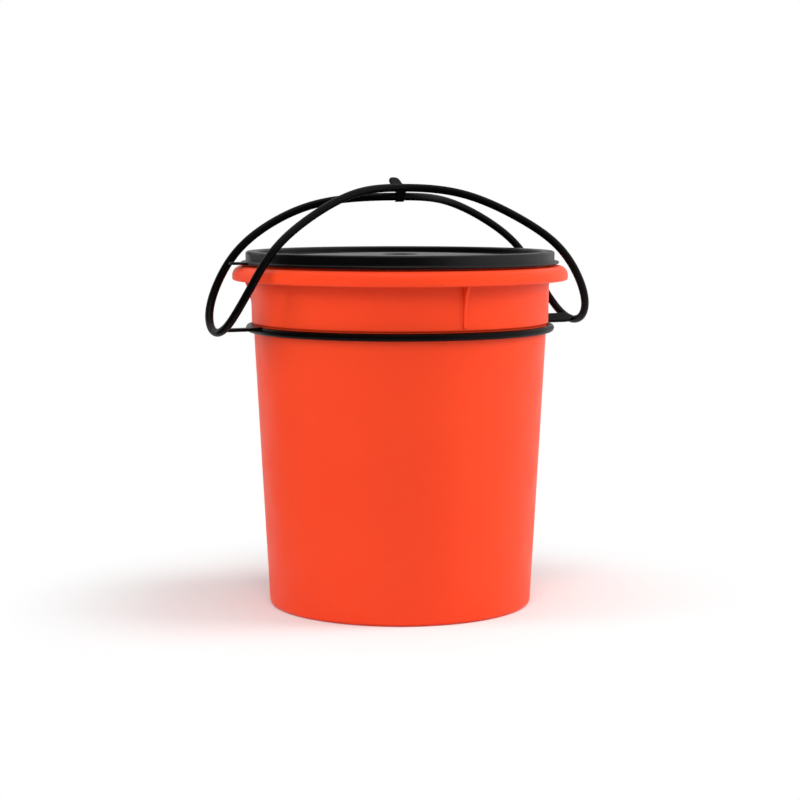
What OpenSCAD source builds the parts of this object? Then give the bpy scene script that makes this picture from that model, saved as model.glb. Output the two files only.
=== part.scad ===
// Round candy pail with a push-on tray lid and a one-piece double-bail carrying handle.
// Origin: middle of the base, on the table. +Z is up, the bail hinges lie along X, -Y is the front.

/* [Pail] */
// Outer radius of the body at the foot
body_base_r = 92.3; // [60:0.1:150]
// Outer radius of the body where the handle ring sits
body_top_r = 102.7; // [70:0.1:170]
// Height of the handle ring's centre above the table
ring_z = 195.2; // [120:0.1:300]
// Wall thickness of the body
body_wall = 2; // [1:0.1:4]
// Thickness of the pail's floor
floor_t = 2.4; // [1:0.1:5]
// Height of the foot ring below the floor
foot_h = 3; // [1:0.1:8]
// Rounding of the lower edge
foot_round = 3; // [1:0.1:5]
// Step from the body out to the collar, which the handle ring sits under
collar_step = 1.2; // [0.5:0.1:2]
// Draft of the collar over its height
collar_draft = 0.6; // [0:0.1:2]

/* [Rim] */
// How far the rim stands out from the collar's top
rim_reach = 12.9; // [10:0.1:20]
// Height from the handle ring up to the rim's top face
collar_h = 43.3; // [30:0.1:80]
// Depth of the rim's down-turned skirt
skirt_h = 9.9; // [9:0.1:25]
// Thickness of the rim and its skirt
rim_wall = 2; // [1:0.1:3]
// Rounding of the rim's upper outer edge
rim_round = 6.5; // [4:0.1:9]
// Rounding of the skirt's lower outer edge
skirt_round = 1.6; // [0.4:0.1:1.8]
// How far the sealing lip stands out from the collar's top
lip_reach = 1.4; // [0:0.1:3]
// Height of the sealing lip above the rim
lip_h = 8.1; // [7:0.1:15]
// Thickness of the sealing lip
lip_t = 2; // [1:0.1:3]

/* [Gussets] */
// Number of ribs under the rim
rib_count = 3; // [2:1:8]
// Turn of the first rib from the front towards the right
rib_turn = -1.4; // [-60:0.1:60]
// Thickness of a rib
rib_t = 2.2; // [1:0.1:5]
// How far a rib stands out from the collar at the top
rib_top_reach = 8; // [4:0.1:9]
// How far a rib stands out from the collar at the bottom
rib_foot_reach = 1.4; // [0.5:0.1:3]

/* [Lid] */
// Thickness of the lid
lid_wall = 1.8; // [1:0.1:3]
// Gap between the rim and the flange's underside, for a fingertip
flange_gap = 1.4; // [0.4:0.1:3]
// How far the flange stands out from the lid's wall
flange_reach = 3.1; // [1:0.1:6]
// Width of the lid's raised border
lid_border = 8.2; // [7:0.1:20]
// Depth of the tray
tray_depth = 4.8; // [2:0.1:6]
// Rounding of the lid's edges
lid_round = 1.6; // [0.5:0.1:1.7]
// Diameter of the dimple in the middle of the tray
dimple_d = 23; // [10:0.1:60]
// Depth of the dimple
dimple_depth = 1.3; // [0.5:0.1:3]
// How far the pull tab stands out from the flange
tab_reach = 10.5; // [5:0.1:15]
// Width of the pull tab
tab_w = 13; // [8:0.1:18]
// Direction of the pull tab, turned from the front towards the right
tab_turn = -100; // [-180:1:180]

/* [Handle] */
// Diameter of the handle's round rod
rod_d = 5.5; // [3:0.1:8]
// Diameter of the rod round the pail
ring_rod_d = 5.2; // [3:0.1:8]
// Room between the rim and the middle of a U bend
bend_room = 21.4; // [16:0.1:40]
// How far each bail bows out to the front or back
bow = 31; // [20:0.1:50]
// Height of the front bail's crown above the lid
hand_room = 43.8; // [38:0.1:90]
// How far the U bends sit to the right of the pail's axis
lean = 1.7; // [0:0.1:4]
// How much higher the right U bend sits than the left one
right_lift = 1.5; // [0:0.1:4]
// Width of the strap from the ring to a U bend
strap_w = 8.5; // [4:0.1:12]
// Thickness of that strap
strap_t = 2.3; // [1:0.1:4]
// How far the straps lie above the ring's centre
strap_rise = 1.4; // [0:0.1:1.4]
// Twist of the right strap about its length
right_twist = 38; // [0:1:60]

/* [Clasp] */
// Width of the clip that joins the two bails
clip_w = 7; // [4:0.1:14]
// Thickness of the clip round the rods
clip_t = 1; // [0.8:0.1:3]
// Length of the thumb tab behind the jaw
thumb_l = 13.2; // [8:0.1:25]
// Slope of the thumb tab above the level
thumb_slope = 36; // [28:1:60]
// Thickness of the thumb tab
thumb_t = 2.4; // [1:0.1:3]
// Slope of the jaw's two sides, which lets each bail swing out of it
jaw_slope = 26; // [22:1:35]
// Gap between the two rods where they cross
crown_gap = 0.6; // [0.3:0.1:2]

/* [Fits] */
// Gap round the handle ring
ring_clear = 0.25; // [0.1:0.05:1]
// Gap between the lid and the sealing lip
lid_clear = 0.3; // [0.2:0.05:0.8]
// Gap where a bail turns in its U bend
hinge_clear = 0.3; // [0.2:0.05:0.6]
// Gap between the clip's jaw and the back rod
jaw_clear = 0.5; // [0.2:0.05:0.8]

/* [Hidden] */

round_fn = 180;
small_fn = 40;

// Pail
body_slope = (body_top_r - body_base_r) / ring_z;
foot_r = body_base_r - foot_round;
collar_z = ring_z + ring_rod_d / 2 + ring_clear;
collar_r = body_base_r + body_slope * collar_z + collar_step;
collar_top_r = collar_r + collar_draft;
inner_top_r = collar_top_r - body_wall;
foot_wall = 2 * body_wall;
rim_r = collar_top_r + rim_reach;
rim_z = ring_z + collar_h;
skirt_z = rim_z - skirt_h;
lip_r = collar_top_r + lip_reach;
lip_z = rim_z + lip_h;

// Lid, worked out from the sealing lip that it snaps over
lid_r = lip_r + lid_clear + lid_wall;
lid_z = lip_z + lid_clear + lid_wall;
flange_z = rim_z + flange_gap;
tray_r = lid_r - lid_border;
tray_z = lid_z - tray_depth;
tab_tip_r = lid_r + flange_reach + tab_reach;

// Ribs
rib_root_r = collar_r - body_wall / 2;
rib_foot_z = collar_z + collar_step;
// Shares of the rib's reach and of its height up to the skirt's edge, from the foot upwards
rib_shares = [[0.03, 0.43], [0.24, 0.59], [0.49, 0.83]];

// Handle
rod_r = rod_d / 2;
ring_rod_r = ring_rod_d / 2;
ring_r = body_top_r + ring_clear + ring_rod_r;
half_span = rim_r + bend_room;
rise = lid_z - ring_z + hand_room;
back_rise = rise - rod_d - crown_gap;
crown_y = rod_d / 3;
rod_sides = 16;
dome_steps = 4;
steps = 8;

// Shares of half_span, bow and rise: points that draw half a bail's curve, from the U bend to the crown
leg_shares = [[1, 0.28, 0.01], [0.99, 0.55, 0.05], [0.97, 0.84, 0.14], [0.91, 1.06, 0.32]];
front_shares = [[0.8, 1.04, 0.575], [0.61, 0.79, 0.77], [0.3, 0.46, 0.99]];
back_shares = [[0.8, 1.01, 0.62], [0.58, 1.01, 0.84], [0.33, 0.78, 0.99]];

function lift(side) = side > 0 ? right_lift : 0;

// A point that draws the curve: side is -1 for the left half, way is -1 for the front bail
function draw_point(share, side, way, height) =
    [side * half_span * share[0], way * bow * share[1], ring_z + height * share[2]]
    + (1 - share[2]) * [lean, 0, lift(side)];

function draw_points(shares, side, way, height) =
    [for (s = shares) draw_point(s, side, way, height)];

function leg(side, way) = draw_points(leg_shares, side, way, rise);

function reversed(list) = [for (i = [len(list) - 1:-1:0]) list[i]];

function last_three(list) = [for (i = [len(list) - 3:len(list) - 1]) list[i]];

// The point that draws a curve right through a place between two other points
function middle_point(place, before, after) = (6 * place - before - after) / 4;

function bend_points(side) = let (
    front = leg(side, -1),
    back = leg(side, 1),
    place = [side * half_span + lean, 0, ring_z + lift(side)])
    concat(reversed(front), [middle_point(place, front[0], back[0])], back);

function bail_points(way, shares, height) = let (
    left = concat(last_three(leg(-1, way)), draw_points(shares, -1, way, height)),
    right = concat(last_three(leg(1, way)), draw_points(shares, 1, way, height)),
    end = len(left) - 1,
    place = [0, way * crown_y, ring_z + height])
    concat(left, [middle_point(place, left[end], right[end])], reversed(right));

// Cubic B-spline from beside the second point of a list to beside the last but one
function curve_point(p, i, t) = (p[i - 1] * pow(1 - t, 3)
    + p[i] * (3 * pow(t, 3) - 6 * t * t + 4)
    + p[i + 1] * (-3 * pow(t, 3) + 3 * t * t + 3 * t + 1)
    + p[i + 2] * pow(t, 3)) / 6;

function curve(p) = concat(
    [for (i = [1:len(p) - 3], k = [0:steps - 1]) curve_point(p, i, k / steps)],
    [curve_point(p, len(p) - 3, 1)]);

// Where a bail turns: the end of the bend's curve
function hinge_centre(side, way) = let (path = curve(bend_points(side)))
    way < 0 ? path[0] : path[len(path) - 1];

function unit(v) = v / norm(v);

function tangent(path, i) = unit(path[min(i + 1, len(path) - 1)] - path[max(i - 1, 0)]);

// A ring is its centre, the way the rod runs there, and its radius
function rod_rings(path, radius) =
    [for (i = [0:len(path) - 1]) [path[i], tangent(path, i), radius]];

// Rings of a round end, from the rod outwards
function dome_rings(ring, way) = [for (k = [1:dome_steps]) let (a = 90 * k / (dome_steps + 1))
    [ring[0] + way * ring[2] * sin(a) * ring[1], ring[1], ring[2] * cos(a)]];

// Points of a ring, square to the rod; aside is a direction the rod never takes
function ring_points(ring, aside) = let (
    u = unit(cross(ring[1], aside)),
    v = cross(ring[1], u))
    [for (k = [0:rod_sides - 1]) ring[0]
        + ring[2] * (cos(360 * k / rod_sides) * u + sin(360 * k / rod_sides) * v)];

module tube(rings, aside) {
    count = len(rings);
    points = [for (ring = rings) each ring_points(ring, aside)];
    sides = [for (i = [0:count - 2], k = [0:rod_sides - 1]) let (
        a = i * rod_sides + k,
        b = i * rod_sides + (k + 1) % rod_sides)
        each [[a, b + rod_sides, b], [a, a + rod_sides, b + rod_sides]]];
    first_cap = [[for (k = [0:rod_sides - 1]) k]];
    last_cap = [[for (k = [rod_sides - 1:-1:0]) (count - 1) * rod_sides + k]];
    polyhedron(points, concat(sides, first_cap, last_cap), convexity = 6);
}

function arc(centre, radius, from, to) = [for (k = [0:6]) let (a = from + (to - from) * k / 6)
    centre + radius * [cos(a), sin(a)]];

// Body, collar, rim, skirt and sealing lip as one turned outline
module pail_outline() {
    corner = [rim_r - rim_round, rim_z - rim_round];
    polygon(concat(
        [[0, foot_h], [foot_r - foot_wall, foot_h], [foot_r - foot_wall, 0]],
        arc([foot_r, foot_round], foot_round, -90, 0),
        [[body_base_r + body_slope * collar_z, collar_z],
         [collar_r, collar_z + collar_step],
         [collar_top_r, rim_z - rim_wall]],
        reversed(arc(corner, rim_round - rim_wall, 0, 90)),
        [[rim_r - rim_wall, skirt_z]],
        arc([rim_r - skirt_round, skirt_z + skirt_round], skirt_round, -90, 0),
        arc(corner, rim_round, 0, 90),
        [[lip_r, rim_z], [lip_r, lip_z], [lip_r - lip_t, lip_z],
         [inner_top_r, rim_z],
         [collar_r - body_wall, collar_z + collar_step],
         [body_base_r + body_slope * collar_z - body_wall, collar_z],
         [body_base_r - body_wall, foot_h + floor_t + foot_round],
         [body_base_r - body_wall - foot_round, foot_h + floor_t], [0, foot_h + floor_t]]));
}

module rib() {
    reach = rib_top_reach - rib_foot_reach;
    height = skirt_z - rib_foot_z;
    translate([0, rib_t / 2, 0])
        rotate([90, 0, 0])
            linear_extrude(rib_t)
                polygon(concat(
                    [[rib_root_r, rib_foot_z],
                     [collar_r + rib_foot_reach, rib_foot_z + rib_foot_reach]],
                    [for (s = rib_shares)
                        [collar_r + rib_foot_reach + reach * s[0], rib_foot_z + height * s[1]]],
                    [[collar_r + rib_top_reach, skirt_z],
                     [collar_r + rib_top_reach, rim_z - rim_wall / 2],
                     [rib_root_r, rim_z - rim_wall / 2]]));
}

module pail() {
    color("orangered") {
        rotate_extrude($fn = round_fn)
            pail_outline();
        for (i = [0:rib_count - 1])
            rotate([0, 0, -90 + rib_turn + i * 360 / rib_count])
                rib();
    }
}

// Raised border with its channel, tray floor, dimple and flange as one turned outline
module lid_outline() {
    dimple_r = dimple_d / 2;
    polygon(concat(
        [[0, tray_z - dimple_depth], [dimple_r - dimple_depth, tray_z - dimple_depth],
         [dimple_r, tray_z], [tray_r, tray_z]],
        reversed(arc([tray_r + lid_round, lid_z - lid_round], lid_round, 90, 180)),
        arc([lid_r - lid_round, lid_z - lid_round], lid_round, 90, 0),
        [[lid_r, flange_z + lid_wall], [lid_r + flange_reach, flange_z + lid_wall],
         [lid_r + flange_reach, flange_z], [lid_r - lid_wall, flange_z],
         [lid_r - lid_wall, lid_z - lid_wall], [tray_r + lid_wall, lid_z - lid_wall],
         [tray_r + lid_wall, tray_z - lid_wall], [dimple_r, tray_z - lid_wall],
         [dimple_r - dimple_depth, tray_z - dimple_depth - lid_wall],
         [0, tray_z - dimple_depth - lid_wall]]));
}

module lid_tab() {
    tip_x = tab_tip_r - tab_w / 2;
    rotate([0, 0, tab_turn - 90])
        translate([0, 0, flange_z]) {
            translate([lid_r, -tab_w / 2, 0])
                cube([tip_x - lid_r, tab_w, lid_wall]);
            translate([tip_x, 0, 0])
                cylinder(h = lid_wall, d = tab_w, $fn = small_fn);
        }
}

module lid() {
    color("#1c1c1e")
        union() {
            rotate_extrude($fn = round_fn)
                lid_outline();
            lid_tab();
        }
}

module ring_solid(rod_radius) {
    translate([0, 0, ring_z])
        rotate_extrude($fn = round_fn)
            translate([ring_r, 0])
                circle(r = rod_radius, $fn = small_fn);
}

module carrier_ring() {
    color("#1c1c1e")
        ring_solid(ring_rod_r);
}

// Strap along X from the ring to the middle of a U bend
module strap(side, twist) {
    strap_from = ring_r + ring_rod_r / 2;
    strap_to = half_span + side * lean - rod_r / 2;
    color("#1c1c1e")
        difference() {
            translate([side * (strap_from + strap_to) / 2, 0, ring_z + strap_rise + lift(side)])
                rotate([twist, 0, 0])
                    cube([strap_to - strap_from, strap_w, strap_t], center = true);
            ring_solid(ring_rod_r);
            bend_rod(side);
        }
}

module bend_rod(side) {
    tube(rod_rings(curve(bend_points(side)), rod_r), [1, 0, 0]);
}

module bend(side) {
    color("#1c1c1e")
        difference() {
            bend_rod(side);
            for (way = [-1, 1])
                translate(hinge_centre(side, way))
                    sphere(r = rod_r + hinge_clear, $fn = small_fn);
        }
}

// A bail from one hinge over the crown to the other, with a round end in each hinge
module bail(way, shares, height) {
    rings = rod_rings(curve(bail_points(way, shares, height)), rod_r);
    tube(concat(
        reversed(dome_rings(rings[0], -1)), rings, dome_rings(rings[len(rings) - 1], 1)),
        [0, 1, 0]);
}

module front_bail() {
    color("#1c1c1e")
        bail(-1, front_shares, rise);
}

module back_bail() {
    color("#1c1c1e")
        bail(1, back_shares, back_rise);
}

// Clip moulded on the front bail: a jaw that cups the back rod from the front, and a thumb tab
module clasp_clip() {
    front_z = ring_z + rise;
    back_z = ring_z + back_rise;
    seat_r = rod_r + jaw_clear;
    color("#1c1c1e")
        difference() {
            union() {
                translate([-clip_w / 2, 0, 0])
                    rotate([90, 0, 90])
                        linear_extrude(clip_w)
                            jaw_outline(front_z, back_z, seat_r);
                translate([0, crown_y, back_z + seat_r + thumb_t / 2])
                    rotate([thumb_slope, 0, 0])
                        thumb();
            }
            bail(-1, front_shares, rise);
            translate([-clip_w, crown_y, back_z])
                rotate([0, 90, 0])
                    cylinder(h = 2 * clip_w, r = seat_r, $fn = small_fn);
        }
}

// Side view of the jaw, in Y and Z
module jaw_outline(front_z, back_z, seat_r) {
    difference() {
        hull() {
            translate([-crown_y, front_z])
                circle(r = rod_r + clip_t / 2, $fn = small_fn);
            translate([crown_y, back_z])
                circle(r = seat_r + clip_t, $fn = small_fn);
        }
        mouth_outline(back_z, seat_r);
    }
}

// Flat tab with a round end
module thumb() {
    straight = thumb_l - clip_w / 2;
    translate([-clip_w / 2, 0, 0])
        cube([clip_w, straight, thumb_t]);
    translate([0, straight, 0])
        cylinder(h = thumb_t, d = clip_w, $fn = small_fn);
}

// Wedge that opens the clip's jaw towards the back; its sides touch the seat's circle
module mouth_outline(back_z, seat_r) {
    near_y = crown_y - seat_r * sin(jaw_slope);
    near_z = seat_r * cos(jaw_slope);
    far_y = near_y + 4 * rod_d;
    far_z = near_z + 4 * rod_d * tan(jaw_slope);
    polygon([
        [near_y, back_z - near_z], [far_y, back_z - far_z],
        [far_y, back_z + far_z], [near_y, back_z + near_z]]);
}

pail();
lid();
carrier_ring();
strap(-1, 0);  // left_strap
strap(1, right_twist);  // right_strap
bend(-1);  // left_bend
bend(1);  // right_bend
front_bail();
back_bail();
clasp_clip();
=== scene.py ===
import math
import bmesh
import bpy
from mathutils import Matrix, Vector


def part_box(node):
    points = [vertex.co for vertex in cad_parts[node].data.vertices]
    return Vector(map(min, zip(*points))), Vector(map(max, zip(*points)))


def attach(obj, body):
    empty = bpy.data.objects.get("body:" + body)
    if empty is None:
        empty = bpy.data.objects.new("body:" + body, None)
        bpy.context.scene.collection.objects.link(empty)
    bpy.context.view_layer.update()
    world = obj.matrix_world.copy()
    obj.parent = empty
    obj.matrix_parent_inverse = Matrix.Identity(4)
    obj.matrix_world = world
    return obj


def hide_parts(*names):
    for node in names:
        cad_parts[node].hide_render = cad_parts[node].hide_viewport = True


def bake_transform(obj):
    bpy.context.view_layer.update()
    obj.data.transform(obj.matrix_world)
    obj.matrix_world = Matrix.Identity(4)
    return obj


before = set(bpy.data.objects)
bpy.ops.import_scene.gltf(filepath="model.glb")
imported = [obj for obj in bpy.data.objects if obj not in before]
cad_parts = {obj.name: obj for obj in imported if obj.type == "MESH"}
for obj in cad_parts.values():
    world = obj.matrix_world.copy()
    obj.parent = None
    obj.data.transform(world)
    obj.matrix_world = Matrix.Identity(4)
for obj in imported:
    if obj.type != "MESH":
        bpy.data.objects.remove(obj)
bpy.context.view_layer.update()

mm = 0.001                      # sizes and places below are in millimetres, Blender's in metres
weld = 0.0005                   # mm; points closer than this are merged
scene = bpy.context.scene


# Places that the pieces share, read off the CAD nodes

def corners(node):
    low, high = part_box(node)
    return low / mm, high / mm


ringLow, ringHigh = corners("carrier_ring")
strapLow, strapHigh = corners("left_strap")
lidLow, lidHigh = corners("lid")
rightLow, rightHigh = corners("right_bend")
leftLow = corners("left_bend")[0]
pailHigh = corners("pail")[1]
frontHigh = corners("front_bail")[1]
backHigh = corners("back_bail")[1]

ringRodRadius = (ringHigh.z - ringLow.z) / 2
ringZ = (ringLow.z + ringHigh.z) / 2
ringRadius = ringHigh.x - ringRodRadius


# Small helpers

def hexToLinear(code):
    channels = [int(code[i:i + 2], 16) / 255 for i in (1, 3, 5)]
    linear = [c / 12.92 if c <= 0.04045 else ((c + 0.055) / 1.055) ** 2.4 for c in channels]
    return (*linear, 1)


def addNode(tree, kind, settings=None, inputs=None):
    node = tree.nodes.new(kind)
    for name, value in (settings or {}).items():
        setattr(node, name, value)
    for name, value in (inputs or {}).items():
        socket = node.inputs[name]
        if isinstance(value, bpy.types.NodeSocket):
            tree.links.new(value, socket)
        else:
            socket.default_value = value
    return node


def newMaterial(name):
    material = bpy.data.materials.new(name)
    material.use_nodes = True
    material.node_tree.nodes.clear()
    return material, material.node_tree


def perMetre(size):             # a pattern's scale, so that one cell is size mm across
    return 1 / (size * mm)


def placeMesh(bm, name, sharpAngle=40):
    # bmesh in millimetres to an object at the origin, in metres
    bmesh.ops.scale(bm, vec=(mm, mm, mm), verts=bm.verts)
    bmesh.ops.recalc_face_normals(bm, faces=bm.faces)
    mesh = bpy.data.meshes.new(name)
    bm.to_mesh(mesh)
    bm.free()
    mesh.shade_smooth()
    mesh.set_sharp_from_angle(angle=math.radians(sharpAngle))
    piece = bpy.data.objects.new(name, mesh)
    scene.collection.objects.link(piece)
    return piece


def settledMesh(piece):         # a mesh of the piece as its modifiers or its bevel leave it
    bpy.context.view_layer.update()
    depsgraph = bpy.context.evaluated_depsgraph_get()
    return bpy.data.meshes.new_from_object(piece.evaluated_get(depsgraph))


def evenNormals(piece, weight=60):      # keeps big flat faces flat beside their small roundings
    modifier = piece.modifiers.new("evenNormals", "WEIGHTED_NORMAL")
    modifier.keep_sharp = True
    modifier.weight = weight
    return piece


def dress(piece, material, nodes, body=None):
    piece.data.materials.append(material)
    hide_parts(*nodes)
    if body:
        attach(piece, body)


def turn(bm, degrees, axis, verts=None):
    # about an axis through the origin
    bmesh.ops.rotate(bm, verts=bm.verts if verts is None else verts, cent=(0, 0, 0),
                     matrix=Matrix.Rotation(math.radians(degrees), 3, axis))


def move(bm, vec, verts=None):
    bmesh.ops.translate(bm, verts=bm.verts if verts is None else verts, vec=vec)


def vertsOf(made):
    return [item for item in made["geom"] if isinstance(item, bmesh.types.BMVert)]


def roundCorner(bm, vertex, radius, facet=12):
    # fillet of a wire corner, facet degrees to a segment; the bevel's offset runs along the two edges
    ends = [edge.other_vert(vertex).co - vertex.co for edge in vertex.link_edges]
    inside = ends[0].angle(ends[1])
    segments = max(3, math.ceil(math.degrees(math.pi - inside) / facet))
    bmesh.ops.bevel(bm, geom=[vertex], offset=radius / math.tan(inside / 2), offset_type="OFFSET",
                    segments=segments, profile=0.5, affect="VERTICES", material=-1)


def addWire(bm, places, roundings=(), closed=False):
    # straight edges from place to place, each corner with its rounding
    wire = [bm.verts.new(place) for place in places]
    for a, b in zip(wire, wire[1:] + wire[:1] if closed else wire[1:]):
        bm.edges.new((a, b))
    for vertex, rounding in zip(wire, roundings):
        if rounding:
            roundCorner(bm, vertex, rounding)


def slab(outline, thickness, edge):
    # plate from (x, y, rounding) corners, its upper and lower edges rounded by edge
    bm = bmesh.new()
    addWire(bm, [(x, y, 0) for x, y, rounding in outline],
            [rounding for x, y, rounding in outline], closed=True)
    bmesh.ops.contextual_create(bm, geom=bm.edges[:])
    made = bmesh.ops.extrude_face_region(bm, geom=bm.faces[:])
    move(bm, (0, 0, thickness), vertsOf(made))
    rims = [e for e in bm.edges if abs(e.verts[0].co.z - e.verts[1].co.z) < thickness / 2]
    bmesh.ops.bevel(bm, geom=rims, offset=edge, offset_type="OFFSET", segments=3, profile=0.5,
                    affect="EDGES", material=-1)
    return bm


def turnedPiece(name, outline, steps=240):
    # spun from (radius, height, rounding) corners that start and end on the axis
    bm = bmesh.new()
    addWire(bm, [(r, 0, z) for r, z, rounding in outline], [rounding for r, z, rounding in outline])
    bmesh.ops.spin(bm, geom=bm.verts[:] + bm.edges[:], cent=(0, 0, 0), axis=(0, 0, 1),
                   angle=2 * math.pi, steps=steps, use_merge=True)
    bmesh.ops.remove_doubles(bm, verts=bm.verts, dist=weld)
    return evenNormals(placeMesh(bm, name))


# Camera and stage

camera = {
    "azimuth": -25.5,           # degrees round the pail from its front, minus towards -X
    "distance": 1441,           # mm from the pail's axis
    "height": 294.5,            # mm above the table
    "pitch": -5.99,             # degrees
    "focalPixels": 2050,
    "framePixels": 800,
    "sensorWidth": 36,
    "clip": (0.05, 20),         # metres
}
studio = {
    "backdrop": "#FFFFFF",
    "ambient": "#FFFFFF",
    "ambientStrength": 0.45,
    "floor": "#F0F0F0",
    "floorRoughness": 0.9,
    "floorSpecular": 0.1,
    "floorSize": 3000,
    "floorFade": (150, 290),    # mm from the axis where the floor turns into the backdrop
    "aimHeight": 130,           # mm up the pail's axis, where the soft boxes point
}
softboxes = {                   # gloss says whether reflections show the lamp
    "frontBox": {"at": (-750, -1350, 1250), "size": 1100, "watts": 13, "gloss": False},
    "topBox": {"at": (-200, -450, 1900), "size": 800, "watts": 4, "gloss": True},
    "rightBox": {"at": (1445, -690, 950), "size": 1200, "watts": 24, "gloss": False},
    "leftBox": {"at": (-1500, 300, 700), "size": 900, "watts": 9, "gloss": False},
}
flagCloth = {                   # black cloth round the camera's side, which only glossy surfaces see
    "colour": "#050505",
    "from": -118,               # degrees from the camera's direction, seen from above
    "to": 37,
    "steps": 48,
    "near": 300,                # mm from the axis
    "far": 1500,
    "bottom": 1,
    "top": 2600,
}


def makeCamera():
    azimuth = math.radians(camera["azimuth"])
    data = bpy.data.cameras.new("photoCamera")
    data.sensor_width = camera["sensorWidth"]
    data.lens = camera["focalPixels"] / camera["framePixels"] * camera["sensorWidth"]
    data.clip_start, data.clip_end = camera["clip"]
    eye = bpy.data.objects.new("photoCamera", data)
    eye.location = (math.sin(azimuth) * camera["distance"] * mm,
                    -math.cos(azimuth) * camera["distance"] * mm,
                    camera["height"] * mm)
    eye.rotation_euler = (math.radians(90 + camera["pitch"]), 0, azimuth)
    scene.collection.objects.link(eye)
    scene.camera = eye


def seesBackdrop(tree):         # 1 for camera, glossy and transmission rays
    path = addNode(tree, "ShaderNodeLightPath")
    either = addNode(tree, "ShaderNodeMath", {"operation": "MAXIMUM"},
                     {0: path.outputs["Is Camera Ray"], 1: path.outputs["Is Glossy Ray"]})
    return addNode(tree, "ShaderNodeMath", {"operation": "MAXIMUM"},
                   {0: either.outputs[0], 1: path.outputs["Is Transmission Ray"]}).outputs[0]


def makeWorld():
    world = bpy.data.worlds.new("studioWorld")
    world.use_nodes = True
    scene.world = world
    tree = world.node_tree
    tree.nodes.clear()
    ambient = addNode(tree, "ShaderNodeBackground", None,
                      {"Color": hexToLinear(studio["ambient"]), "Strength": studio["ambientStrength"]})
    backdrop = addNode(tree, "ShaderNodeBackground", None,
                       {"Color": hexToLinear(studio["backdrop"]), "Strength": 1.0})
    mixed = addNode(tree, "ShaderNodeMixShader", None,
                    {0: seesBackdrop(tree), 1: ambient.outputs[0], 2: backdrop.outputs[0]})
    addNode(tree, "ShaderNodeOutputWorld", None, {"Surface": mixed.outputs[0]})


def makeFloor():
    material, tree = newMaterial("palePaperSweep")
    place = addNode(tree, "ShaderNodeTexCoord")
    reach = addNode(tree, "ShaderNodeVectorMath", {"operation": "LENGTH"}, {0: place.outputs["Object"]})
    near, far = studio["floorFade"]
    fade = addNode(tree, "ShaderNodeMapRange", {"interpolation_type": "SMOOTHSTEP"},
                   {"Value": reach.outputs["Value"], "From Min": near * mm, "From Max": far * mm})
    shown = addNode(tree, "ShaderNodeMath", {"operation": "MULTIPLY"},
                    {0: fade.outputs["Result"], 1: seesBackdrop(tree)})
    paper = addNode(tree, "ShaderNodeBsdfPrincipled", None,
                    {"Base Color": hexToLinear(studio["floor"]), "Roughness": studio["floorRoughness"],
                     "Specular IOR Level": studio["floorSpecular"]})
    backdrop = addNode(tree, "ShaderNodeEmission", None, {"Color": hexToLinear(studio["backdrop"])})
    mixed = addNode(tree, "ShaderNodeMixShader", None,
                    {0: shown.outputs[0], 1: paper.outputs[0], 2: backdrop.outputs[0]})
    addNode(tree, "ShaderNodeOutputMaterial", None, {"Surface": mixed.outputs[0]})
    bm = bmesh.new()
    bmesh.ops.create_grid(bm, x_segments=1, y_segments=1, size=studio["floorSize"])
    floor = placeMesh(bm, "floor")
    floor.data.materials.append(material)


def makeSoftboxes():
    aim = Vector((0, 0, studio["aimHeight"])) * mm
    for name, box in softboxes.items():
        data = bpy.data.lights.new(name, "AREA")
        data.shape = "DISK"
        data.size = box["size"] * mm
        data.energy = box["watts"]
        lamp = bpy.data.objects.new(name, data)
        lamp.location = Vector(box["at"]) * mm
        lamp.rotation_euler = (aim - lamp.location).to_track_quat("-Z", "Y").to_euler()
        lamp.visible_glossy = box["gloss"]
        scene.collection.objects.link(lamp)


def makeFlag():
    # as in a product studio, it keeps the black plastic black and gives its reflections edges
    f = flagCloth
    material, tree = newMaterial("blackFlagCloth")
    cloth = addNode(tree, "ShaderNodeBsdfDiffuse", None, {"Color": hexToLinear(f["colour"])})
    addNode(tree, "ShaderNodeOutputMaterial", None, {"Surface": cloth.outputs[0]})
    bm = bmesh.new()
    addWire(bm, [(0, -f["near"], f["bottom"]), (0, -f["far"], f["bottom"]), (0, -f["far"], f["top"])])
    turn(bm, camera["azimuth"] + f["from"], "Z")
    bmesh.ops.spin(bm, geom=bm.verts[:] + bm.edges[:], cent=(0, 0, 0), axis=(0, 0, 1),
                   angle=math.radians(f["to"] - f["from"]), steps=f["steps"])
    flag = placeMesh(bm, "blackFlag")
    flag.data.materials.append(material)
    flag.visible_camera = False
    flag.visible_diffuse = False
    flag.visible_shadow = False


makeCamera()
makeWorld()
makeFloor()
makeSoftboxes()
makeFlag()
print("stage: camera, floor, soft boxes and flag are in place")


# Materials

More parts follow.
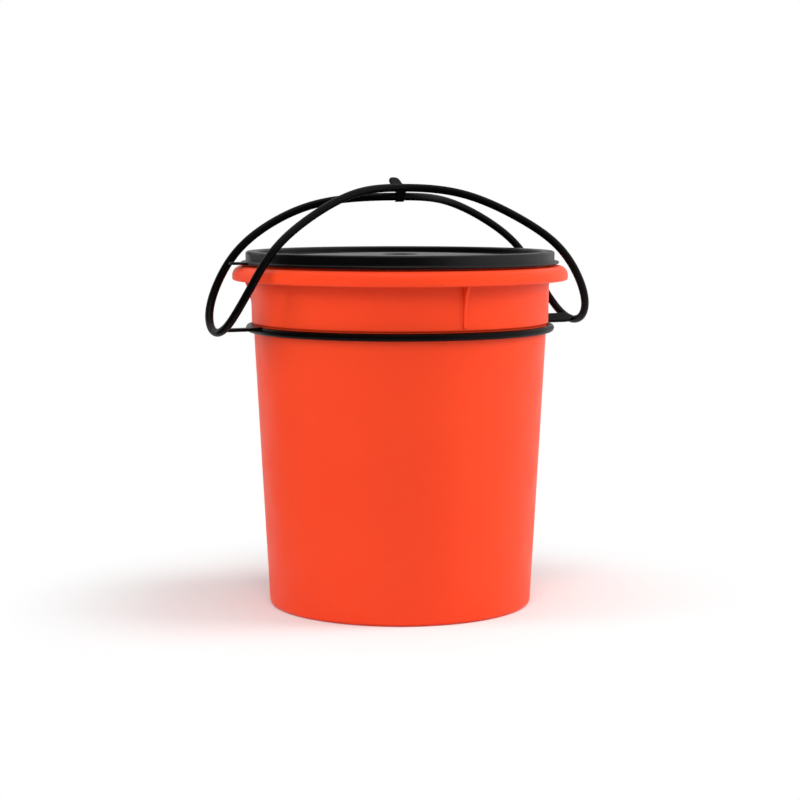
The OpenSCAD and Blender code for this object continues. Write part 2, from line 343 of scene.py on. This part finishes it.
orangePlastic = {
    "colours": ("#E83E1A", "#EB451D"),
    "cloudSize": 70,            # mm, slow change of the pigment's strength
    "ior": 1.49,
    "specular": 0.2,
    "roughness": (0.4, 0.52),
    "smudgeSize": 22,
    "flowSize": (34, 34, 110),  # mm, waviness that the melt leaves up the wall
    "flowDepth": 0.05,
    "peelSize": 1.6,            # mm; drawn coarser than the real 0.5 mm so that it shows
    "peelDepth": 0.004,
    "scatter": 0.2,
    "scatterRadius": (1.0, 0.3, 0.15),
    "scatterDepth": 4,
}
blackLid = {
    "colours": ("#060506", "#0A090A"),
    "cloudSize": 40,
    "ior": 1.51,
    "specular": 0.3,
    "roughness": (0.4, 0.5),
    "smudgeSize": 18,
    "flowSize": (30, 30, 30),
    "flowDepth": 0.03,
    "peelSize": 1.4,
    "peelDepth": 0.004,
    "scatter": 0,
}
blackHandle = {
    "colours": ("#040404", "#080707"),
    "cloudSize": 12,
    "ior": 1.49,
    "specular": 0.08,
    "roughness": (0.32, 0.46),
    "smudgeSize": 9,
    "flowSize": (14, 14, 14),
    "flowDepth": 0.02,
    "peelSize": 0.9,
    "peelDepth": 0.005,
    "scatter": 0,
}


def mouldedPlastic(name, look):
    # pigment clouds, uneven gloss, flow waves and a fine grain
    material, tree = newMaterial(name)
    place = addNode(tree, "ShaderNodeTexCoord").outputs["Object"]
    clouds = addNode(tree, "ShaderNodeTexNoise", None,
                     {"Vector": place, "Scale": perMetre(look["cloudSize"]), "Detail": 2.0})
    tint = addNode(tree, "ShaderNodeMix", {"data_type": "RGBA"},        # colours go in at 6 and 7
                   {0: clouds.outputs[0], 6: hexToLinear(look["colours"][0]),
                    7: hexToLinear(look["colours"][1])})
    smudges = addNode(tree, "ShaderNodeTexNoise", None,
                      {"Vector": place, "Scale": perMetre(look["smudgeSize"]), "Detail": 5.0,
                       "Roughness": 0.6})
    gloss = addNode(tree, "ShaderNodeMapRange", None,       # the noise hardly leaves 0.3 to 0.7
                    {"Value": smudges.outputs[0], "From Min": 0.3, "From Max": 0.7,
                     "To Min": look["roughness"][0], "To Max": look["roughness"][1]})
    stretched = addNode(tree, "ShaderNodeMapping", None,
                        {"Vector": place, "Scale": tuple(perMetre(size) for size in look["flowSize"])})
    flow = addNode(tree, "ShaderNodeTexNoise", None,
                   {"Vector": stretched.outputs[0], "Scale": 1.0, "Detail": 1.0})
    waves = addNode(tree, "ShaderNodeBump", None,
                    {"Height": flow.outputs[0], "Distance": look["flowDepth"] * mm, "Strength": 1.0})
    peel = addNode(tree, "ShaderNodeTexNoise", None,
                   {"Vector": place, "Scale": perMetre(look["peelSize"]), "Detail": 2.0})
    skin = addNode(tree, "ShaderNodeBump", None,
                   {"Height": peel.outputs[0], "Distance": look["peelDepth"] * mm, "Strength": 1.0,
                    "Normal": waves.outputs[0]})
    plastic = addNode(tree, "ShaderNodeBsdfPrincipled", None,
                      {"Base Color": tint.outputs[2], "Roughness": gloss.outputs[0], "IOR": look["ior"],
                       "Specular IOR Level": look["specular"], "Normal": skin.outputs[0]})
    if look["scatter"]:
        plastic.inputs["Subsurface Weight"].default_value = look["scatter"]
        plastic.inputs["Subsurface Radius"].default_value = look["scatterRadius"]
        plastic.inputs["Subsurface Scale"].default_value = look["scatterDepth"] * mm
    addNode(tree, "ShaderNodeOutputMaterial", None, {"Surface": plastic.outputs[0]})
    return material


# injection-moulded polypropylene, pigmented orange: bright, a little see-into, soft gloss
orangePolypropylene = mouldedPlastic("orangePolypropylene", orangePlastic)
# injection-moulded polyethylene, black: waxy gloss that shows soft reflections
blackPolyethylene = mouldedPlastic("blackPolyethylene", blackLid)
# flexible moulded polypropylene, black: finer grain, duller than the lid
blackPolypropylene = mouldedPlastic("blackPolypropylene", blackHandle)
print("materials: three moulded plastics")


# Pail: body, collar, rim, skirt and sealing lip

pail = {
    "baseRadius": 92.3,
    "topRadius": 102.7,         # at the handle ring
    "wall": 2,
    "floor": 2.4,
    "floorRound": 5,
    "footHeight": 3,
    "footRound": 3,
    "collarStep": 1.2,
    "collarDraft": 0.6,
    "ringGap": 0.25,            # between the handle ring and the collar
    "rimWall": 2,
    "rimRound": 6.5,
    "skirt": 9.9,               # from the rim's top down
    "skirtRound": 1.6,
    "lipReach": 1.4,            # from the collar's top outwards
    "lipHeight": 8.1,
    "lipWall": 2,
    "gate": 5,                  # mark of the mould's gate, across and down
    "gateHeight": 0.8,
}
slope = (pail["topRadius"] - pail["baseRadius"]) / ringZ
collarZ = ringZ + ringRodRadius + pail["ringGap"]
underCollar = pail["baseRadius"] + slope * collarZ
collarRadius = underCollar + pail["collarStep"]
collarTop = collarRadius + pail["collarDraft"]
rimRadius = pailHigh.x
lipZ = pailHigh.z
rimZ = lipZ - pail["lipHeight"]
lipRadius = collarTop + pail["lipReach"]
skirtZ = rimZ - pail["skirt"]


def makePail():
    p = pail
    footInner = p["baseRadius"] - p["footRound"] - 2 * p["wall"]
    innerTop = collarTop - p["wall"]
    floorTop = p["footHeight"] + p["floor"]
    shell = turnedPiece("pailShell", [
        (0, p["footHeight"] - p["gateHeight"], 0),                  # underside and gate mark
        (p["gate"] / 2, p["footHeight"] - p["gateHeight"], 0.3),
        (p["gate"] / 2, p["footHeight"], 0.5),
        (footInner, p["footHeight"], 1),                            # foot ring
        (footInner, 0, 0.8),
        (p["baseRadius"], 0, p["footRound"]),
        (underCollar, collarZ, 0.5),                                # collar
        (collarRadius, collarZ + p["collarStep"], 0.8),
        (collarTop, rimZ - p["rimWall"], 1.5),
        (rimRadius - p["rimWall"], rimZ - p["rimWall"], p["rimRound"] - p["rimWall"]),
        (rimRadius - p["rimWall"], skirtZ, 0.3),                    # skirt and rim
        (rimRadius, skirtZ, p["skirtRound"]),
        (rimRadius, rimZ, p["rimRound"]),
        (lipRadius, rimZ, 0.8),                                     # sealing lip
        (lipRadius, lipZ, 0.7),
        (lipRadius - p["lipWall"], lipZ, 0.7),
        (innerTop, rimZ, 0.6),                                      # inside, down to the floor
        (collarRadius - p["wall"], collarZ + p["collarStep"], 1),
        (underCollar - p["wall"], collarZ, 1),
        (p["baseRadius"] - p["wall"], floorTop, p["floorRound"]),
        (0, floorTop, 0)])
    dress(shell, orangePolypropylene, ["pail"], "root")


rib = {
    "count": 3,
    "thickness": 2.2,
    "edgeRound": 0.55,
    "topReach": 8,              # from the collar outwards
    "topRound": 5,
    "footReach": 1.4,
    "footRound": 1.2,
    "azimuth": -1.4,            # degrees that the first one is turned from the front
    # shares of the reach and of the height up to the skirt, with each corner's rounding in mm
    "curve": [(0.03, 0.43, 20), (0.24, 0.59, 12), (0.49, 0.83, 20)],
}


def makeRimRibs():
    r = rib
    inside = collarRadius - pail["wall"] / 2
    top = rimZ - pail["rimWall"] / 2
    foot = collarZ + pail["collarStep"]
    outline = [(inside, foot, 0), (collarRadius + r["footReach"], foot + r["footReach"], r["footRound"])]
    for reach, height, rounding in r["curve"]:
        outline.append((collarRadius + r["footReach"] + (r["topReach"] - r["footReach"]) * reach,
                        foot + (skirtZ - foot) * height, rounding))
    outline += [(collarRadius + r["topReach"], skirtZ, r["topRound"]),
                (collarRadius + r["topReach"], top, 0), (inside, top, 0)]
    bm = slab(outline, r["thickness"], r["edgeRound"])
    move(bm, (0, 0, -r["thickness"] / 2))
    turn(bm, 90, "X")
    turn(bm, -90 + r["azimuth"], "Z")
    first = bm.verts[:] + bm.edges[:] + bm.faces[:]
    for i in range(1, r["count"]):
        turn(bm, 360 * i / r["count"], "Z", vertsOf(bmesh.ops.duplicate(bm, geom=first)))
    dress(evenNormals(placeMesh(bm, "rimRibs")), orangePolypropylene, ["pail"], "root")


makePail()
makeRimRibs()
print("pail: shell and rim ribs")


# Lid: raised border, tray, dimple, flange and pull tab

lid = {
    "wall": 1.8,
    "gap": 0.3,                 # round the pail's sealing lip
    "flangeReach": 3.1,
    "border": 8.2,
    "borderRound": 1.6,
    "trayDepth": 4.8,
    "trayCrown": 2.4,           # mm that the tray's middle stands above its edge
    "crownSteps": 9,
    "dimple": 26,
    "dimpleDepth": 1.4,
    "dimpleDraft": 0.3,
    "gate": 3.5,                # mark of the mould's gate, across and up
    "gateHeight": 0.5,
}
lidRadius = lipRadius + lid["gap"] + lid["wall"]
lidZ = lidHigh.z
flangeZ = lidLow.z


def makeLid():
    d = lid
    trayRadius = lidRadius - d["border"]
    trayZ = lidZ - d["trayDepth"]
    dimple = d["dimple"] / 2
    crownZ = trayZ + d["trayCrown"]
    dimpleZ = crownZ - d["dimpleDepth"]
    crown = []
    for i in range(1, d["crownSteps"]):
        out = i / d["crownSteps"]
        crown.append((dimple + (trayRadius - dimple) * out, trayZ + d["trayCrown"] * (1 - out ** 2)))
    cover = turnedPiece("lidCover", [
        (0, dimpleZ + d["gateHeight"], 0),                          # gate mark and dimple
        (d["gate"] / 2, dimpleZ + d["gateHeight"], 0.3),
        (d["gate"] / 2, dimpleZ, 0.4),
        (dimple - d["dimpleDraft"], dimpleZ, 0.4),
        (dimple, crownZ, 0.5)]
        + [(r, z, 0) for r, z in crown]                             # tray
        + [(trayRadius, trayZ, 1.3),
           (trayRadius, lidZ, d["borderRound"]),                    # border and outer wall
           (lidRadius, lidZ, d["borderRound"]),
           (lidRadius, flangeZ + d["wall"], 0.8),
           (lidRadius + d["flangeReach"], flangeZ + d["wall"], 0.8),
           (lidRadius + d["flangeReach"], flangeZ, 0.8),
           (lidRadius - d["wall"], flangeZ, 0.4),                   # channel for the sealing lip
           (lidRadius - d["wall"], lidZ - d["wall"], 0.4),
           (trayRadius + d["wall"], lidZ - d["wall"], 0.6),
           (trayRadius + d["wall"], trayZ - d["wall"], 1)]
        + [(r, z - d["wall"], 0) for r, z in reversed(crown)]       # underside
        + [(dimple, crownZ - d["wall"], 0.8),
           (dimple - d["dimpleDraft"], dimpleZ - d["wall"], 0.8),
           (0, dimpleZ - d["wall"], 0)])
    dress(cover, blackPolyethylene, ["lid"], "lid")


pullTab = {
    "width": 13,
    "reach": 10.5,              # from the flange's edge outwards
    "flare": 4,                 # mm that it widens by where it joins the flange
    "shoulder": (0.4, 1),       # where the flare starts: inside the flange's edge, and in from its end
    "tipFlat": 0.1,             # half of what the roundings leave straight at the tip
    "inset": 0.05,              # mm that its faces lie inside the flange's
    "edgeRound": 0.5,
    "azimuth": 170,             # degrees from +X
}


def makePullTab():
    t = pullTab
    edge = lidRadius + lid["flangeReach"]
    half = t["width"] / 2
    flare = t["flare"]
    inside, down = t["shoulder"]
    right = [(lidRadius - lid["wall"] / 2, -half - flare, 0),
             (edge - inside, -half - flare + down, flare - down),
             (edge + flare - down, -half, flare),
             (edge + t["reach"], -half, half - t["tipFlat"])]
    left = [(x, -y, rounding) for x, y, rounding in reversed(right)]
    bm = slab(right + left, lid["wall"] - 2 * t["inset"], t["edgeRound"])
    move(bm, (0, 0, flangeZ + t["inset"]))
    turn(bm, t["azimuth"], "Z")
    dress(evenNormals(placeMesh(bm, "lidPullTab")), blackPolyethylene, ["lid"], "lid")


makeLid()
makePullTab()
print("lid: cover and pull tab")


# Handle: ring, straps, U bends and bails, which with the clasp are one flexible moulding

rods = {
    "radius": 2.75,             # of the bends and the bails
    "partingRidge": 0.12,       # mm that the mould's parting line stands up along each rod
    "facets": 36,
    "ringSteps": 240,
    "sharpAngle": 50,           # degrees
}
bails = {
    "bow": 31,                  # mm that the bails curve out to the front and the back
    "samples": 14,              # points on the curve for each point that draws it
    "flex": (199, 223),         # heights of the stretch where each leg of the real handle bends as a bail swings; the rods are split into bends and bails at the lower one
    # points that draw the curves, in shares of the half span, the bow and the rise
    "legs": [(1, 0.28, 0.01), (0.99, 0.55, 0.05), (0.97, 0.84, 0.14), (0.91, 1.06, 0.32)],
    "front": [(0.8, 1.04, 0.575), (0.61, 0.79, 0.77), (0.3, 0.46, 0.99)],
    "back": [(0.8, 1.01, 0.62), (0.58, 1.01, 0.84), (0.33, 0.78, 0.99)],
}
rodRadius = rods["radius"]
halfSpan = (rightHigh.x - leftLow.x) / 2 - rodRadius
lean = (rightHigh.x + leftLow.x) / 2
rightLift = rightLow.z - leftLow.z
frontRise = frontHigh.z - rodRadius - ringZ
backRise = backHigh.z - rodRadius - ringZ
crownY = rodRadius * 2 / 3      # each crown lies this far to its own side of the middle


def drawPoint(share, side, way, rise):
    x, y, z = share
    lift = rightLift if side > 0 else 0
    return Vector((side * halfSpan * x + lean * (1 - z), way * bails["bow"] * y,
                   ringZ + rise * z + lift * (1 - z)))


def pointThrough(place, before, after):
    # the drawing point between two others that brings the curve through a place
    return (6 * place - before - after) / 4


def curvePoint(p, i, t):
    # uniform cubic B-spline, from point i at t = 0 to the next one at t = 1
    return (p[i - 1] * (1 - t) ** 3 + p[i] * (3 * t ** 3 - 6 * t * t + 4)
            + p[i + 1] * (-3 * t ** 3 + 3 * t * t + 3 * t + 1) + p[i + 2] * t ** 3) / 6


def halfBail(side, way, shares, rise):
    # drawing points from beyond the U bend's middle up towards the crown
    leg = [drawPoint(share, side, way, frontRise) for share in bails["legs"]]
    beyond = Vector((leg[0].x, -leg[0].y, leg[0].z))
    middle = Vector((side * halfSpan + lean, 0, ringZ + (rightLift if side > 0 else 0)))
    return ([beyond, pointThrough(middle, beyond, leg[0])] + leg
            + [drawPoint(share, side, way, rise) for share in shares])


def bailPath(way, shares, rise):
    # from the left U bend's middle over the crown to the right one's
    left = halfBail(-1, way, shares, rise)
    right = halfBail(1, way, shares, rise)
    crown = Vector((0, way * crownY, ringZ + rise))
    points = left + [pointThrough(crown, left[-1], right[-1])] + right[::-1]
    path = []
    for i in range(1, len(points) - 2):
        path += [curvePoint(points, i, k / bails["samples"]) for k in range(bails["samples"])]
    return path + [curvePoint(points, len(points) - 3, 1)]


def splitPath(path):
    # the left end below the flexing stretch, the bail, and the right end
    low = bails["flex"][0]
    start = next(i for i, place in enumerate(path) if place.z > low)
    end = next(i for i in range(len(path) - 1, 0, -1) if path[i].z > low)
    return path[:start + 1], path[start:end + 1], path[end:]


frontLeft, frontPath, frontRight = splitPath(bailPath(-1, bails["front"], frontRise))
backLeft, backPath, backRight = splitPath(bailPath(1, bails["back"], backRise))


def rodProfile(radius):
    # round section with the parting line's two small ridges
    curve = bpy.data.curves.new("rodProfile", "CURVE")
    curve.dimensions = "2D"
    spline = curve.splines.new("POLY")
    count = rods["facets"]
    spline.points.add(count - 1)
    for k in range(count):
        angle = 2 * math.pi * k / count
        r = radius + (rods["partingRidge"] if k in (0, count // 2) else 0)
        spline.points[k].co = (r * math.cos(angle) * mm, r * math.sin(angle) * mm, 0, 1)
    spline.use_cyclic_u = True
    profile = bpy.data.objects.new("rodProfile", curve)
    scene.collection.objects.link(profile)
    return profile


def rod(name, path, radius, cyclic=False):
    # the profile swept along a path, with closed ends
    profile = rodProfile(radius)
    curve = bpy.data.curves.new(name, "CURVE")
    curve.dimensions = "3D"
    spline = curve.splines.new("POLY")
    spline.points.add(len(path) - 1)
    for point, place in zip(spline.points, path):
        point.co = (*(place * mm), 1)
    spline.use_cyclic_u = cyclic
    spline.use_smooth = True
    curve.bevel_mode = "OBJECT"
    curve.bevel_object = profile
    curve.use_fill_caps = not cyclic
    line = bpy.data.objects.new(name + "Line", curve)
    scene.collection.objects.link(line)
    shape = settledMesh(line)
    bpy.data.objects.remove(line)
    bpy.data.objects.remove(profile)
    bm = bmesh.new()
    bm.from_mesh(shape)
    bpy.data.meshes.remove(shape)
    bmesh.ops.scale(bm, vec=(1 / mm, 1 / mm, 1 / mm), verts=bm.verts)
    bmesh.ops.remove_doubles(bm, verts=bm.verts, dist=weld)
    return placeMesh(bm, name, rods["sharpAngle"])


def makeRing():
    path = []
    for k in range(rods["ringSteps"]):
        angle = 2 * math.pi * k / rods["ringSteps"]
        path.append(Vector((ringRadius * math.cos(angle), ringRadius * math.sin(angle), ringZ)))
    ring = rod("carrierRing", path, ringRodRadius, True)
    dress(ring, blackPolypropylene, ["carrier_ring"], "root")


strap = {
    "cornerRound": 0.7,
    "steps": 36,
    "flare": (0.6, 0.05),       # shares that it grows by at the ring and at the bend
    "flareRun": 0.3,            # share of its length that each flare takes
    "tip": 0.3,                 # share of its length that narrows into the bend's rod
    "tipLoss": 0.85,            # share of the section's area that is gone at its end
    "rightTwist": 38,           # degrees
    "twistRun": 0.38,           # share of its length that the twist takes, from the ring
}


def strapSize(along):
    # the section's size at a share of the strap's length from the ring
    atRing, atBend = (flare * max(0, 1 - run / strap["flareRun"]) ** 2
                      for flare, run in zip(strap["flare"], (along, 1 - along)))
    tip = max(0, along - 1 + strap["tip"]) / strap["tip"]
    return (1 + atRing + atBend) * math.sqrt(1 - strap["tipLoss"] * tip ** 2)


def makeStrap(name, side, twist, node):
    # flat section, extruded step by step from inside the ring to the middle of the U bend's rod
    steps = strap["steps"]
    start = side * (ringRadius + ringRodRadius / 2)
    reach = side * halfSpan + lean - start
    half = (strapHigh.y - strapLow.y) / 2
    thick = (strapHigh.z - strapLow.z) / 2
    height = (strapHigh.z + strapLow.z) / 2 + (rightLift if side > 0 else 0)
    bm = bmesh.new()
    addWire(bm, [(-half, -thick, 0), (half, -thick, 0), (half, thick, 0), (-half, thick, 0)],
            [strap["cornerRound"]] * 4, closed=True)
    bmesh.ops.contextual_create(bm, geom=bm.edges[:])
    turn(bm, 90, "X")
    turn(bm, 90, "Z")
    bmesh.ops.scale(bm, vec=(1, strapSize(0), strapSize(0)), verts=bm.verts)
    section = bm.faces[:]
    for i in range(steps):
        made = bmesh.ops.extrude_face_region(bm, geom=section)
        if i:                   # the section inside the strap; the first one is its end
            bmesh.ops.delete(bm, geom=section, context="FACES_ONLY")
        section = [item for item in made["geom"] if isinstance(item, bmesh.types.BMFace)]
        verts = vertsOf(made)
        here, there = i / steps, (i + 1) / steps
        grow = strapSize(there) / strapSize(here)
        bmesh.ops.scale(bm, vec=(1, grow, grow), verts=verts)
        twisted, twistedMore = (min(1, along / strap["twistRun"]) for along in (here, there))
        turn(bm, twist * (twistedMore - twisted), "X", verts)
        move(bm, (reach / steps, 0, 0), verts)
    move(bm, (start, 0, height))
    dress(evenNormals(placeMesh(bm, name)), blackPolypropylene, [node], "root")


def makeBends():
    for name, node, path in (("leftBend", "left_bend", frontLeft[::-1] + backLeft[1:]),
                             ("rightBend", "right_bend", frontRight + backRight[::-1][1:])):
        dress(rod(name, path, rodRadius), blackPolypropylene, [node], "root")


def makeBails():
    for name, node, path in (("frontBail", "front_bail", frontPath), ("backBail", "back_bail", backPath)):
        bail = rod(name, path, rodRadius)
        dress(bail, blackPolypropylene, [node])
        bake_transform(bail)


makeRing()
makeStrap("leftStrap", -1, 0, "left_strap")
makeStrap("rightStrap", 1, strap["rightTwist"], "right_strap")
makeBends()
makeBails()
print("handle: ring, straps, bends and bails")


# Clasp: jaw on the front bail that cups the back one, with a thumb tab

clasp = {
    "width": 6.4,
    "wall": 0.85,
    "gap": 0.15,                # round the back rod
    "sink": 0.25,               # mm that the clasp's front lies under the front rod's surface
    "jawSlope": 26,             # degrees that each side of the jaw opens by
    "jawDepth": 11,             # mm that the cutter reaches back from where its sides leave the seat
    "jawSpare": 4,              # mm that it stands out at each side
    "thumbWidth": (9.8, 7.4),   # at its foot and at its tip
    "thumbLength": 13.2,
    "thumbThickness": 2.4,
    "thumbSlope": 36,           # degrees
    "thumbEdge": 0.7,
    "footRound": 0.6,
    "tipFlat": 0.4,             # half of what the roundings leave straight at its tip
    "voxel": 0.22,
    "softening": 5,             # rounds of smoothing
    "sharpAngle": 50,           # degrees
}


def addCylinder(bm, centre, radius, width, segments=48):
    # along X, for a hull or a union
    made = bmesh.ops.create_cone(bm, cap_ends=True, segments=segments, radius1=radius, radius2=radius,
                                 depth=width)
    turn(bm, 90, "Y", made["verts"])
    move(bm, centre, made["verts"])


def hullOf(bm):
    bmesh.ops.delete(bm, geom=bm.faces[:], context="FACES_ONLY")
    made = bmesh.ops.convex_hull(bm, input=bm.verts)
    spare = [v for v in made["geom_interior"] + made["geom_unused"] if isinstance(v, bmesh.types.BMVert)]
    bmesh.ops.delete(bm, geom=spare, context="VERTS")


def claspBody(frontCentre, backCentre, seat):
    # a hull round the two rods, and the thumb tab that stands up behind them
    c = clasp
    bm = bmesh.new()
    addCylinder(bm, frontCentre, rodRadius - c["sink"], c["width"])
    addCylinder(bm, backCentre, seat + c["wall"], c["width"])
    hullOf(bm)
    foot, tip = (width / 2 for width in c["thumbWidth"])
    end = c["thumbLength"]
    thumb = slab([(-foot, 0, c["footRound"]), (foot, 0, c["footRound"]),
                  (tip, end, tip - c["tipFlat"]), (-tip, end, tip - c["tipFlat"])],
                 c["thumbThickness"], c["thumbEdge"])
    turn(thumb, c["thumbSlope"], "X")
    move(thumb, backCentre + Vector((0, 0, seat + c["thumbThickness"] / 2)))
    thumbMesh = bpy.data.meshes.new("thumb")
    thumb.to_mesh(thumbMesh)
    thumb.free()
    bm.from_mesh(thumbMesh)
    bpy.data.meshes.remove(thumbMesh)
    return placeMesh(bm, "claspClip", c["sharpAngle"])


def jawCutter(centre, seat):
    # the back rod's seat and the jaw's mouth behind it
    c = clasp
    bm = bmesh.new()
    addCylinder(bm, centre, seat, c["width"] + 2 * c["jawSpare"])
    slope = math.radians(c["jawSlope"])
    y = centre.y - seat * math.sin(slope) + c["jawDepth"]
    rise = seat * math.cos(slope) + c["jawDepth"] * math.tan(slope)
    for x in (-c["width"], c["width"]):
        for z in (centre.z - rise, centre.z + rise):
            bm.verts.new((x, y, z))
    hullOf(bm)
    return placeMesh(bm, "jawCutter")


def addRemesh(piece, name):
    modifier = piece.modifiers.new(name, "REMESH")
    modifier.mode = "VOXEL"
    modifier.voxel_size = clasp["voxel"] * mm


def makeClasp():
    seat = rodRadius + clasp["gap"]
    backCentre = Vector((0, crownY, ringZ + backRise))
    piece = claspBody(Vector((0, -crownY, ringZ + frontRise)), backCentre, seat)
    cutter = jawCutter(backCentre, seat)
    addRemesh(piece, "fuse")
    jaw = piece.modifiers.new("jaw", "BOOLEAN")
    jaw.operation = "DIFFERENCE"
    jaw.object = cutter
    addRemesh(piece, "close")   # the cut leaves slivers
    soften = piece.modifiers.new("soften", "SMOOTH")
    soften.iterations = clasp["softening"]
    rough = piece.data
    piece.data = settledMesh(piece)
    piece.modifiers.clear()
    bpy.data.meshes.remove(rough)
    bpy.data.objects.remove(cutter)
    piece.data.shade_smooth()
    piece.data.set_sharp_from_angle(angle=math.radians(clasp["sharpAngle"]))
    dress(piece, blackPolypropylene, ["clasp_clip"], "front_bail")


makeClasp()
print("clasp: jaw and thumb tab")

scene.view_settings.view_transform = "Standard"
